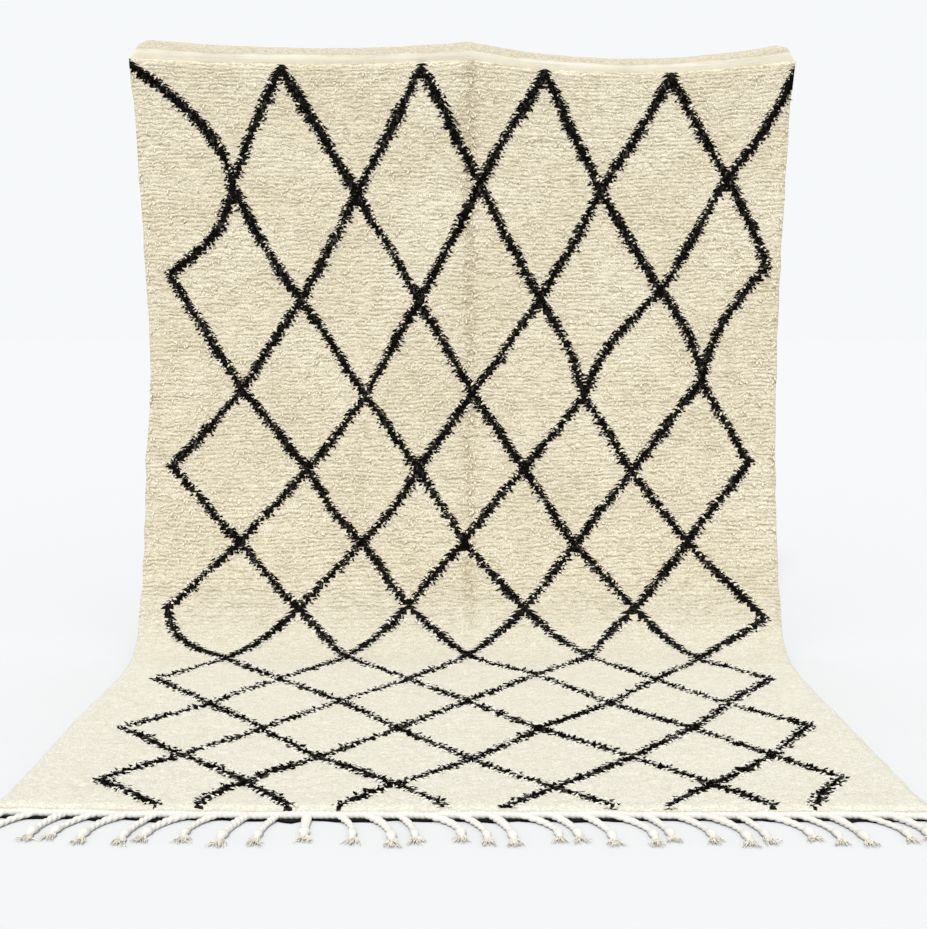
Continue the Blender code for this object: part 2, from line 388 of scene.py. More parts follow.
def between_grips(across, amounts):
    """A parabola between each two neighbouring grips, as deep as its amount."""
    depth = np.zeros_like(across)
    for (left, _), (right, _), amount in zip(GRIPS, GRIPS[1:], amounts):
        share = np.clip((across - left) / (right - left), 0.0, 1.0)
        depth += amount * 4.0 * share * (1.0 - share)
    return depth


def crease(across, along):
    reach = np.abs(across - CREASE_ACROSS) / CREASE_HALF_WIDTH
    start, end = CREASE_SPAN
    fade = ease((along - start) / CREASE_FADE) * ease((end - along) / CREASE_FADE)
    return CREASE_DEPTH * (1.0 - ease(reach)) * fade


def skew(across, along):
    reach = np.maximum(SKEW_START - across, 0.0) / (1.0 + SKEW_START)
    return SKEW * reach * reach * (1.0 - ease(along / SKEW_FADE))


def bend_cloth(across, along, depth):
    """Points in the frame for places in the flat rug."""
    y, z, angle = (np.interp(along, WALK[:, 0], WALK[:, column]) for column in (1, 2, 3))
    lift = np.maximum((z - THICKNESS) / (WALK_TOP - THICKNESS), 0.0) ** SAG_POWER
    below = depth + crease(across, along)
    drop = between_grips(across, SAGS) + np.interp(across, GRIPS[:, 0], GRIPS[:, 1])
    back = between_grips(across, BELLIES) * lift + skew(across, along)
    points = np.stack((
        across,
        y + np.minimum(along, 0.0) + below * np.sin(angle) + back,
        z - below * np.cos(angle) - drop * lift,
    ), axis=-1)
    return points + ORIGIN


def cloth_axes(along):
    """The directions towards the held end and out of the pile, at places along the rug."""
    angle = np.interp(along, WALK[:, 0], WALK[:, 3])
    zero = np.zeros_like(angle)
    towards = np.stack((zero, np.cos(angle), np.sin(angle)), axis=-1)
    outward = np.stack((zero, -np.sin(angle), np.cos(angle)), axis=-1)
    return towards, outward


def uprightness(along):
    """0 on the floor run and 1 on the hang."""
    return ease((along - FLOOR_LENGTH + 0.02) / 0.34)


# ---- the lattice ----
def lattice_lines():
    """Each line between two crossings as points (across, along) in metres."""
    bows = {key[:3]: key[3] for key in BOWS}
    lines = []
    for row, (upper, lower) in enumerate(zip(LATTICE, LATTICE[1:])):
        for start in range(len(upper[0])):
            wider = len(upper[0]) > len(lower[0])
            for end in ((start - 1, start) if wider else (start, start + 1)):
                if not 0 <= end < len(lower[0]):
                    continue
                first = np.array((upper[0][start], upper[1][start])) / 100
                last = np.array((lower[0][end], lower[1][end])) / 100
                share = np.linspace(0.0, 1.0, LINE_STEPS + 1)[:, None]
                line = first + (last - first) * share
                bow = bows.get((row, start, end), 0.0) / 100
                swell = np.sin(math.pi * share[:, 0])
                stray = smooth_noise(line[:, 0] * 9 + 7 * start, line[:, 1] * 9 + 3 * end, 11)
                line[:, 0] += bow * swell + LINE_WANDER * stray * np.sqrt(swell)
                lines.append(line[line[:, 1] > LINE_END])
    return lines


class LatticeField:
    """How far each place in the flat rug is past the edge of the nearest black line: negative inside it."""

    def __init__(self):
        self.left, self.front = FIELD_CORNER
        self.shape = (int(FIELD_SIZE[1] / FIELD_STEP), int(FIELD_SIZE[0] / FIELD_STEP))
        self.values = np.full(self.shape, FIELD_REACH)
        kept, taper = LINE_TAPER
        for line in lattice_lines():
            for start, end in zip(line, line[1:]):
                middle = (start[1] + end[1]) / 2
                half = np.interp(middle, LINE_HALF_WIDTH[:, 0], LINE_HALF_WIDTH[:, 1])
                half *= kept + (1.0 - kept) * float(ease((middle - LINE_END) / taper))
                half *= 1.0 + LINE_SWELL * float(smooth_noise(start[0] * 14, start[1] * 14, 23))
                self.draw(start, end, half)

    def draw(self, start, end, half):
        """Lowers the field round one short stretch of a line."""
        low = np.minimum(start, end) - FIELD_REACH - half
        high = np.maximum(start, end) + FIELD_REACH + half
        columns = self.cells(low[0] - self.left, high[0] - self.left, self.shape[1])
        rows = self.cells(low[1] - self.front, high[1] - self.front, self.shape[0])
        across = self.left + columns[None, :] * FIELD_STEP
        along = self.front + rows[:, None] * FIELD_STEP
        run = end - start
        share = ((across - start[0]) * run[0] + (along - start[1]) * run[1]) / float(run @ run)
        share = np.clip(share, 0.0, 1.0)
        gap = np.hypot(across - start[0] - share * run[0], along - start[1] - share * run[1]) - half
        block = np.ix_(rows, columns)
        self.values[block] = np.minimum(self.values[block], gap)

    @staticmethod
    def cells(low, high, count):
        return np.arange(max(int(low / FIELD_STEP), 0), min(int(high / FIELD_STEP) + 1, count))

    def at(self, across, along):
        column = np.clip((across - self.left) / FIELD_STEP, 0, self.shape[1] - 1.001)
        row = np.clip((along - self.front) / FIELD_STEP, 0, self.shape[0] - 1.001)
        left, low = column.astype(int), row.astype(int)
        right, up = column - left, row - low
        below = blend(self.values[low, left], self.values[low, left + 1], right)
        above = blend(self.values[low + 1, left], self.values[low + 1, left + 1], right)
        return blend(below, above, up)


# ---- meshes ----
def make_object(name, points, faces, material, attributes=(), maps=()):
    """A smooth mesh object.  attributes and maps hold names, with a number or a place for each point."""
    data = bpy.data.meshes.new(name)
    data.from_pydata(points.reshape(-1, 3), [], faces)
    for title, values in attributes:
        layer = data.attributes.new(title, "FLOAT", "POINT")
        layer.data.foreach_set("value", np.ravel(values).astype(np.float32))
    corners = np.empty(len(data.loops), dtype=np.int32)
    data.loops.foreach_get("vertex_index", corners)
    for title, places in maps:
        layer = data.uv_layers.new(name=title)
        layer.uv.foreach_set("vector", places.reshape(-1, 2)[corners].astype(np.float32).ravel())
    data.materials.append(material)
    data.shade_smooth()
    data.update()
    made = bpy.data.objects.new(name, data)
    bpy.context.scene.collection.objects.link(made)
    return made


def grid_faces(rows, columns):
    """Quads of a grid of points numbered row by row."""
    corner = (np.arange(rows - 1)[:, None] * columns + np.arange(columns - 1)[None, :]).ravel()
    return np.stack((corner, corner + 1, corner + columns + 1, corner + columns), axis=1)


def own_map(flat):
    """Places from 0 to 1 each way."""
    low, high = flat.min(axis=(0, 1)), flat.max(axis=(0, 1))
    return (flat - low) / (high - low)


def broken_middle(across, along):
    """1 down the middle of the hang, where the old crease breaks the ribs up."""
    return np.exp(-((across - MIDDLE_ACROSS) / MIDDLE_HALF_WIDTH) ** 2) * uprightness(along)


def rib_phase(across, along):
    """Counts the rows of knots along the rug: they waver, and part and meet again, as woven by hand."""
    share, wide, long = BROKEN_WAVER
    waver = share * broken_middle(across, along) * smooth_noise(across / wide, along / long, 4)
    for seed, (share, wide, long) in enumerate(RIB_WAVER, 1):
        waver += share * smooth_noise(across / wide, along / long, seed)
    return along / RIB_PITCH + waver


def pile_relief(across, along):
    """How far the pile's surface lies below its crests: ribs on the hang, and a low nubbly nap everywhere."""
    phase = 2 * math.pi * rib_phase(across, along)
    rib = 0.5 + 0.5 * np.cos(phase - 0.6 * np.sin(phase))
    strength = 0.62 + 0.38 * smooth_noise(across / 0.12, along / 0.05, 5)
    upright = uprightness(along)
    lumps = 0.65 * smooth_noise(across / 0.014, along / 0.011, 6)
    lumps += 0.35 * smooth_noise(across / 0.045, along / 0.03, 7)
    nap = 0.85 + 0.15 * upright + 0.8 * broken_middle(across, along)
    ribs = RIB_HEIGHT * (0.12 + 0.88 * upright) * strength * (1.0 - rib)
    return ribs + LUMP_HEIGHT * nap * (1.0 - lumps) / 2


def pile_rows(start, end):
    """Places along the rug for a strip of pile: close together on the hang, wider on the floor."""
    places = [start]
    while places[-1] < end - HANG_STEP:
        reach = float(ease((places[-1] - FLOOR_LENGTH) / 0.2))
        places.append(min(places[-1] + FLOOR_STEP + (HANG_STEP - FLOOR_STEP) * reach, end))
    return np.array(places + ([end] if places[-1] < end else []))


def build_pile(field, material):
    """The pile's surface in strips, each bent from a flat grid whose sides turn down to the ground cloth."""
    rim_depths, rim_insets = RIM.T
    shares = np.concatenate((np.zeros(len(RIM)), np.linspace(0.0, 1.0, COLUMNS), np.ones(len(RIM))))
    insets = np.concatenate((rim_insets, np.full(COLUMNS, TOP_INSET), rim_insets[::-1]))
    column_drops = np.concatenate((rim_depths, np.zeros(COLUMNS), rim_depths[::-1]))
    strips = []
    for number, (start, end) in enumerate(zip(PILE_SPLITS, PILE_SPLITS[1:])):
        is_front, is_last = start == 0.0, end == PILE_LENGTH
        middle = pile_rows(start + TOP_INSET * is_front, end - TOP_INSET * is_last)
        front_rim, last_rim = RIM[:len(RIM) * is_front], RIM[::-1][:len(RIM) * is_last]
        rows = np.concatenate((front_rim[:, 1], middle, PILE_LENGTH - last_rim[:, 1]))
        row_drops = np.concatenate((front_rim[:, 0], np.zeros(len(middle)), last_rim[:, 0]))
        along = np.repeat(rows[:, None], len(shares), axis=1)
        left, right = insets - reach_left(along), reach_right(along) - insets
        across = left + (right - left) * shares
        drop = np.maximum(column_drops[None, :], row_drops[:, None])
        edge_gap = np.minimum.reduce((across - left, right - across, along, PILE_LENGTH - along))
        rounding = EDGE_ROUNDING * (1.0 - ease(edge_gap / EDGE_REACH))
        rounding = np.maximum(rounding, FRONT_ROUNDING * (1.0 - ease(along / FRONT_REACH)))
        surface = PILE_CLEARANCE + pile_relief(across, along)
        depth = np.where(drop > 0, drop, surface + rounding)
        flat = np.stack((across, along), axis=-1)
        attributes = (
            ("line_gap", field.at(across, along)), ("rib", rib_phase(across, along)), ("low", surface),
            ("upright", uprightness(along)), ("middle", broken_middle(across, along)))
        maps = (("cloth", flat), ("OFBake", 0.01 + 0.98 * own_map(flat)))
        strips.append(make_object(f"pile_{number + 1}", bend_cloth(across, along, depth),
                                  grid_faces(len(rows), len(shares)), material, attributes, maps))
    return strips


def build_ground(field, material):
    """The ground cloth: one closed sheet under the pile, which goes on as the plain band and turns over."""
    # the ground runs on under the hem cord, where its end is painted black as the shadow beneath the hem
    shadow_web = np.linspace(-SHADOW_WEB_REACH, 0.0, SHADOW_WEB_ROWS)[:-1]
    rows = np.concatenate((shadow_web, np.linspace(0.0, RUG_LENGTH, GROUND_ROWS)))
    shares = np.concatenate(((0.0, 0.0), np.linspace(0.0, 1.0, GROUND_COLUMNS), (1.0, 1.0)))
    rims = np.concatenate(((1.0, 0.35), np.zeros(GROUND_COLUMNS), (0.35, 1.0)))
    along = np.repeat(rows[:, None], len(shares), axis=1)
    left, right = GROUND_INSET - reach_left(along), reach_right(along) - GROUND_INSET
    across = left + (right - left) * (0.004 * (1 - rims) + (1 - 0.008 * (1 - rims)) * shares)
    ragged = SHADOW_WEB_RAGGED[0] + SHADOW_WEB_RAGGED[1] * line_noise(across / 0.036, 33)
    along = np.where(along < 0, along * ragged, along)
    in_band = ease((along - PILE_LENGTH) / BAND_EASE)
    thick = GROUND_THICKNESS + (THICKNESS - BAND_SET_BACK - GROUND_THICKNESS) * in_band
    slack = smooth_noise(across / 0.30, along / 0.016, 31)
    slack += 0.6 * smooth_noise(across / 0.05, along / 0.03, 32)
    middle = THICKNESS - thick / 2 + BAND_SLACK * in_band * slack
    half = thick / 2 * (1.0 - 0.8 * rims) * (1.0 - 0.5 * (along < 0))
    face = bend_cloth(across, along, middle - half)
    back = bend_cloth(across, along, middle + half)
    last, columns, count = len(rows) - 1, len(shares), along.size
    quads = grid_faces(len(rows), columns)
    ring = np.concatenate((
        np.arange(columns), np.arange(1, last + 1) * columns + columns - 1,
        last * columns + np.arange(columns - 2, -1, -1), np.arange(last - 1, 0, -1) * columns))
    following = np.roll(ring, -1)
    wall = np.stack((ring, ring + count, following + count, following), axis=1)
    flat = np.stack((across, along), axis=-1)
    half_map = own_map(flat) * (0.49, 0.98)
    gap = field.at(across, along)
    attributes = (("line_gap", np.stack((gap, gap))), ("band", np.stack((in_band, in_band))),
                  ("back", np.stack((np.zeros_like(gap), np.ones_like(gap)))))
    maps = (("cloth", np.stack((flat, flat))),
            ("OFBake", np.stack((half_map + (0.005, 0.01), half_map + (0.505, 0.01)))))
    return make_object("ground_cloth", np.stack((face, back)),
                       np.concatenate((quads, quads[:, ::-1] + count, wall)), material, attributes, maps)


# ---- the locks of wool ----
def build_tufts(name, across, along, depth, push, seed, material):
    """One joined mesh of pointed locks of wool, which hang down on the hang and lean forward on the floor.

    push says how far each one leans to the right.
    """
    random = np.random.default_rng(seed)
    count = len(across)
    towards, outward = cloth_axes(along)
    upright = uprightness(along)[:, None]
    side = np.zeros((count, 3))
    side[:, 0] = 1.0
    sway = random.normal(0.0, TUFT_SPLAY, (count, 1)) + push[:, None]
    lay = FLOOR_LAY + (HANG_LAY - FLOOR_LAY) * upright + random.normal(0.0, 0.10, (count, 1))
    start = unit(outward * (1.15 - lay) - towards * lay + side * sway * 0.6)
    end = unit(outward * (0.75 - lay) * 0.9 - towards * (lay + 0.15) + side * sway * 1.5)
    reach = TUFT_LENGTH * random.uniform(*TUFT_LENGTHS, (count, 1))
    width = TUFT_WIDTH * random.uniform(*TUFT_WIDTHS, (count, 1)) / 2
    roots = bend_cloth(across, along, np.full(count, depth))
    wide = unit(side - start * (side * start).sum(axis=1, keepdims=True))
    flat = np.cross(start, wide)
    points = np.empty((count, 9, 3))
    for ring, (share, size) in enumerate(TUFT_RINGS):
        centre = roots + reach * (start * share * (1 - share / 2) + end * share * share / 2)
        for corner, (x, y) in enumerate(((1, 0), (0, 1), (-1, 0), (0, -1))):
            points[:, ring * 4 + corner] = centre + (wide * x + flat * y * TUFT_FLATNESS) * width * size
    points[:, 8] = roots + reach * (start + end) / 2
    sides = [(corner, (corner + 1) % 4, (corner + 1) % 4 + 4, corner + 4) for corner in range(4)]
    tips = [(corner + 4, (corner + 1) % 4 + 4, 8) for corner in range(4)]
    base = np.arange(count)[:, None, None] * 9
    faces = (np.array(sides)[None] + base).reshape(-1, 4).tolist()
    faces += (np.array(tips)[None] + base).reshape(-1, 3).tolist()
    shade = np.repeat(random.uniform(-1.0, 1.0, count), 9)
    tipped = np.tile((0.0, 0.0, 0.0, 0.0, 0.6, 0.6, 0.6, 0.6, 1.0), count)
    cells = math.ceil(math.sqrt(count))
    cell = np.stack((np.arange(count) % cells, np.arange(count) // cells), axis=-1)[:, None, :]
    spot = np.array([(0.2 + 0.2 * (index % 4), 0.25 + 0.3 * (index // 4)) for index in range(9)])
    return make_object(name, points, faces, material, (("shade", shade), ("tip", tipped)),
                       (("OFBake", (cell + spot[None]) / cells),))


def knots(start, end, seed):
    """The knots between two places along the rug, a little uneven: across and along for each."""
    random = np.random.default_rng(seed)
    rows = np.arange(math.ceil(start / RIB_PITCH) + 1, math.floor(end / RIB_PITCH) - 1)
    columns = np.arange(int(2 * KNOTS_REACH / KNOT_PITCH)) * KNOT_PITCH - KNOTS_REACH
    across, row = np.meshgrid(columns, rows)
    across = (across + random.uniform(-KNOT_JITTER, KNOT_JITTER, across.shape) * KNOT_PITCH).ravel()
    row = row.ravel().astype(float)
    along = row * RIB_PITCH
    for _ in range(3):
        along = along - (rib_phase(across, along) - row) * RIB_PITCH * 0.8
    inside = (across > KNOT_MARGIN - reach_left(along)) & (across < reach_right(along) - KNOT_MARGIN)
    inside &= (along > max(start, KNOT_MARGIN)) & (along < min(end, PILE_LENGTH - BAND_MARGIN))
    return across[inside], along[inside]


def build_all_tufts(field, black, pale, ivory):
    """Black locks along the lattice, and ivory ones beside it and here and there on the hang."""
    made = []
    stretches = (("floor", 0.0, LOCK_SPLIT, pale), ("hang", LOCK_SPLIT, PILE_LENGTH, ivory))
    for name, start, end, wool in stretches:
        across, along = knots(start, end, 41)
        random = np.random.default_rng(43)
        gap = field.at(across, along)
        slope = field.at(across + SLOPE_STEP, along) - field.at(across - SLOPE_STEP, along)
        outwards = np.clip(slope / (2 * SLOPE_STEP), -1.0, 1.0)
        is_black = gap + random.uniform(-RAGGED, RAGGED, gap.shape) < 0.0
        push = outwards * EDGE_PUSH * (gap > -EDGE_BAND)
        made.append(build_tufts(f"black_locks_{name}", across[is_black], along[is_black], LOCK_DEPTH,
                                push[is_black], 47, black))
        beside = ~is_black & (gap < EDGE_BAND + RAGGED)
        share = STRAY_SHARE * ease((along - STRAY_START[0]) / STRAY_START[1])
        picked = beside | (~is_black & (random.random(gap.shape) < share))
        push = -outwards * EDGE_PUSH * beside
        made.append(build_tufts(f"ivory_locks_{name}", across[picked], along[picked], LOCK_DEPTH + 0.0012,
                                push[picked], 53, wool))
    return made


# ---- the hem cord and the tassels ----
def turns(sides):
    """The angles of the points of a ring."""
    return 2 * math.pi * np.arange(sides) / sides


def line_frames(centres):
    """Unit directions across and up from a line of points."""
    ahead = unit(np.gradient(centres, axis=0))
    wide = unit(np.cross(ahead, (0.0, 0.0, 1.0)))
    return wide, np.cross(wide, ahead)


def tube(centres, half_widths, half_heights, swell):
    """Rings of points round a line, with swell as a factor for each of their points, ring by ring."""
    wide, high = line_frames(centres)
    turn = turns(swell.shape[1])
    ring_wide = np.cos(turn)[None, :, None] * wide[:, None, :] * half_widths[:, None, None]
    ring_high = np.sin(turn)[None, :, None] * high[:, None, :] * half_heights[:, None, None]
    return centres[:, None, :] + (ring_wide + ring_high) * swell[:, :, None]


def tube_faces(rings, sides, start):
    """The faces of a tube with both ends closed, whose points are numbered ring by ring from start."""
    ring = start + np.arange(rings * sides).reshape(rings, sides)
    after = np.roll(ring, -1, axis=1)
    walls = np.stack((ring[:-1], after[:-1], after[1:], ring[1:]), axis=-1).reshape(-1, 4)
    return [*walls.tolist(), ring[0, ::-1].tolist(), ring[-1].tolist()]


class Cords:
    """Tubes gathered into one mesh, each with its own cell of the piece's own map."""

    def __init__(self, cells):
        self.points, self.faces, self.maps, self.shades, self.tips = [], [], [], [], []
        self.side = math.ceil(math.sqrt(cells))
        self.made = 0
        self.count = 0

    def add(self, rings, shade, tips):
        ring_count, sides = rings.shape[:2]
        self.points.append(rings.reshape(-1, 3))
        self.faces += tube_faces(ring_count, sides, self.count)
        cell = np.array((self.made % self.side, self.made // self.side), dtype=float)
        around = np.abs(np.arange(sides) / sides * 2 - 1)
        place = np.stack(np.meshgrid(around, np.linspace(0.0, 1.0, ring_count)), axis=-1)
        self.maps.append(((cell + 0.05 + 0.9 * place) / self.side).reshape(-1, 2))
        self.shades.append(np.full(ring_count * sides, shade))
        self.tips.append(np.repeat(tips, sides))
        self.made += 1
        self.count += ring_count * sides

    def make(self, name, material):
        return make_object(name, np.concatenate(self.points), self.faces, material,
                           (("shade", np.concatenate(self.shades)), ("tip", np.concatenate(self.tips))),
                           (("OFBake", np.concatenate(self.maps)),))


def hem_line(across):
    """The middle of the hem cord, which follows the rug's front edge."""
    front = -HEM_GAP - HEM_RADIUS - 0.0006
    sway = HEM_WANDER * line_noise(across / 0.05, 61)
    lift = HEM_WANDER * line_noise(across / 0.04, 62)
    return np.stack((across, front + skew(across, 0.0) + sway, HEM_HEIGHT + lift), axis=-1) + ORIGIN


def build_hem(material):
    """The rolled and whipped edge in front of the pile, as one cord with the ridges of its whipping."""
    left, right = TASSEL_ENDS
    across = np.linspace(left + 0.004, right - 0.004, HEM_RINGS)
    phase = 2 * math.pi * across[:, None] / HEM_TURNS_PITCH + 2 * turns(HEM_SIDES)[None, :]
    swell = 1.0 + 0.085 * np.cos(phase) + 0.12 * line_noise(across / 0.030, 63)[:, None]
    taper = np.sqrt(np.clip(np.minimum(across - left, right - across) / HEM_END_EASE, 0.15, 1.0))
    size = HEM_RADIUS * 0.90 * taper
    hem = Cords(1)
    hem.add(tube(hem_line(across), size, size, swell), 0.0, np.zeros(HEM_RINGS))
    return hem.make("hem_cord", material)


def tassel_line(index, shares):
    """The middle of a tassel from the hem to its tip, arching down to the floor, and its total length."""
    left, right = TASSEL_ENDS
    root = left + (right - left) / TASSELS * (index + 0.5)
    lean = FAN_LEAN * math.tanh((root - FAN_CENTRE) / FAN_EASE) * (1 + 0.25 * math.sin(2.3 * index))
    length = TASSEL_LENGTH + LENGTH_WAVE * math.sin(1.7 * index)
    curl = 0.005 * math.sin(4.1 * index + 1.0) * np.sin(math.pi * shares)
    across = root + lean * (1.0 - (1.0 - shares) ** FAN_BEND) + curl
    across = across - PEEL_START * lean / FAN_LEAN * (1.0 - shares) ** 4
    ahead = HEM_GAP + HEM_RADIUS + length * (shares ** PEEL_FORWARD)
    half_height = np.interp(shares, TASSEL_FORM[:, 0], TASSEL_FORM[:, 2])
    height = half_height + (HEM_HEIGHT - half_height) * (1.0 - ease(shares / 0.38)) + 0.0004
    line = np.stack((across, skew(np.full_like(shares, root), 0.0) - ahead, height), axis=-1)
    return line + ORIGIN, length


def build_tassels(material):
    """Every tassel: a cord of two yarns, a knot, and an end frayed into strands."""
    cords = Cords(TASSELS * (1 + FRAY_STRANDS))
    random = np.random.default_rng(67)
    cord_shares = np.linspace(0.0, TASSEL_FORM[-1, 0], TASSEL_RINGS)
    fray_shares = np.linspace(FRAY_START, 1.0, FRAY_RINGS)
    opened = (fray_shares - FRAY_START) / (1.0 - FRAY_START)
    strand_form = np.interp(opened, (0, 0.7, 1), (1.0, 0.9, 0.35))
    strand_swell = np.ones((FRAY_RINGS, STRAND_SIDES))
    for index in range(TASSELS):
        centres, length = tassel_line(index, cord_shares)
        half_width, half_height, depth = (
            np.interp(cord_shares, TASSEL_FORM[:, 0], TASSEL_FORM[:, column]) for column in (1, 2, 3))
        twist = 2 * math.pi * cord_shares * length / TWIST_PITCH + random.uniform(0, 2 * math.pi)
        lobes = np.abs(np.cos(turns(TASSEL_SIDES)[None, :] - twist[:, None]))
        swell = 1.0 - depth[:, None] * 0.62 * (1.0 - lobes) ** 1.6
        uneven = TASSEL_BULK[0] + TASSEL_BULK[1] * math.sin(3.3 * index)
        uneven += 0.08 * line_noise(cord_shares * 9 + 13 * index, 71)
        cords.add(tube(centres, half_width * uneven, half_height * uneven, swell),
                  random.uniform(-1, 1), np.zeros(TASSEL_RINGS))
        core, _ = tassel_line(index, fray_shares)
        core_wide, _ = line_frames(core)
        for strand in range(FRAY_STRANDS):
            aside = (strand + 0.5) / FRAY_STRANDS * 2 - 1 + random.normal(0, 0.12)
            reach = aside * (0.0035 + FRAY_SPREAD * opened ** 1.2 * random.uniform(0.7, 1.1))
            curl = random.normal(0, 0.0022) * np.sin(math.pi * opened * random.uniform(0.8, 1.8))
            line = core + core_wide * (reach + curl)[:, None]
            line[:, 1] -= opened * random.uniform(-0.013, 0.006)
            tip_lift = random.uniform(0.0, 0.0045)
            line[:, 2] = STRAND_RADIUS + 0.0008 + np.interp(opened, (0, 1), (0.0040, tip_lift))
            size = STRAND_RADIUS * random.uniform(0.8, 1.2) * strand_form
            cords.add(tube(line, size, size, strand_swell), random.uniform(-1, 1), opened)
    return cords.make("tassels", material)


# ---- materials ----
class Value:
    """What a shader node gives, with the usual signs to work on with numbers and other values."""

    def __init__(self, tree, socket):
        self.tree, self.socket = tree, socket

    def work(self, operation, *others):
        node = self.tree.nodes.new("ShaderNodeMath")
        node.operation = operation
        for socket, value in zip(node.inputs, (self, *others)):
            put(socket, value)
        return Value(self.tree, node.outputs["Value"])

    def __add__(self, other):
        return self.work("ADD", other)

    def __sub__(self, other):
        return self.work("SUBTRACT", other)

    def __mul__(self, other):
        return self.work("MULTIPLY", other)

    def __pow__(self, other):
        return self.work("POWER", other)


def put(socket, value):
    if isinstance(value, Value):
        value.tree.links.new(value.socket, socket)
    else:
        socket.default_value = value


class Shader:
    """A Principled material and short ways to add nodes to it."""

    def __init__(self, name, roughness, sheen):
        self.material = bpy.data.materials.new(name)
        self.material.use_nodes = True
        self.tree = self.material.node_tree
        self.surface = self.tree.nodes["Principled BSDF"]
        for title, value in (("Roughness", roughness), ("Specular IOR Level", 0.03),
                             ("Sheen Weight", sheen), ("Sheen Roughness", 0.6)):
            self.surface.inputs[title].default_value = value

    def node(self, kind, output, inputs=(), **settings):
        """The output of a new node, given its settings and what goes into its inputs."""
        node = self.tree.nodes.new(kind)
        for title, setting in settings.items():
            setattr(node, title, setting)
        for title, value in inputs:
            put(node.inputs[title], value)
        return Value(self.tree, node.outputs[output])

    def attributes(self, *names):
        return [self.node("ShaderNodeAttribute", "Fac", attribute_name=name) for name in names]

    def cloth(self, across=1.0, along=1.0):
        """The place in the flat rug in metres, times a factor each way."""
        place = self.node("ShaderNodeUVMap", "UV", uv_map="cloth")
        return self.node("ShaderNodeVectorMath", "Vector", ((0, place), (1, (across, along, 1.0))),
                         operation="MULTIPLY")

    def cloth_part(self, axis, across=1.0, along=1.0):
        """The "X" or the "Y" of that place."""
        return self.node("ShaderNodeSeparateXYZ", axis, ((0, self.cloth(across, along)),))

    def cell_noise(self, first, second):
        """A number from 0 to 1 for each cell of a grid whose lines are at the whole numbers."""
        cell = self.node("ShaderNodeCombineXYZ", 0, ((0, first.work("FLOOR")), (1, second.work("FLOOR"))))
        return self.node("ShaderNodeTexWhiteNoise", "Value", (("Vector", cell),), noise_dimensions="2D")

    def noise(self, vector, scale, detail, roughness, distortion=0.0):
        return self.node("ShaderNodeTexNoise", "Fac", (
            ("Vector", vector), ("Scale", scale), ("Detail", detail), ("Roughness", roughness),
            ("Distortion", distortion)))

    def grain(self, across, along, *form):
        return self.noise(self.cloth(across, along), *form)

    def yarn_noise(self, scale, detail, roughness):
        place = self.node("ShaderNodeTexCoord", "Object")
        return self.noise(place, scale, detail, roughness)

    def between(self, value, low, high, out_low=0.0, out_high=1.0):
        """A smooth step from one value to another."""
        return self.node("ShaderNodeMapRange", "Result", (
            ("Value", value), ("From Min", low), ("From Max", high),
            ("To Min", out_low), ("To Max", out_high)), interpolation_type="SMOOTHSTEP")

    def mix(self, share, first, second):
        """A colour between two."""
        colours = [colour if isinstance(colour, Value) else (*colour, 1.0) for colour in (first, second)]
        return self.node("ShaderNodeMix", 2, (("Factor", share), (6, colours[0]), (7, colours[1])),
                         data_type="RGBA")

    def finish(self, colour, height, distance, strength):
        """The material, with this colour and with bumps of this height."""
        normal = self.node("ShaderNodeBump", "Normal", (
            ("Height", height), ("Distance", distance), ("Strength", strength)))
        put(self.surface.inputs["Base Color"], colour)
        put(self.surface.inputs["Normal"], normal)
        return self.material


def lattice_mask(shader, gap, rib, lock):
    """1 on the black knots: the edge strays from knot to knot, and runs out and back within each row."""
    knot = shader.cell_noise(shader.cloth_part("X", 1 / RAGGED_CELL), rib)
    ragged = gap + (knot - 0.5) * (2 * RAGGED) + (rib.work("FRACT") - 0.5) * TOOTH
    ragged += (lock - 0.5) * RAGGED_LOCKS
    return shader.between(ragged, LINE_SOFTNESS, -LINE_SOFTNESS)


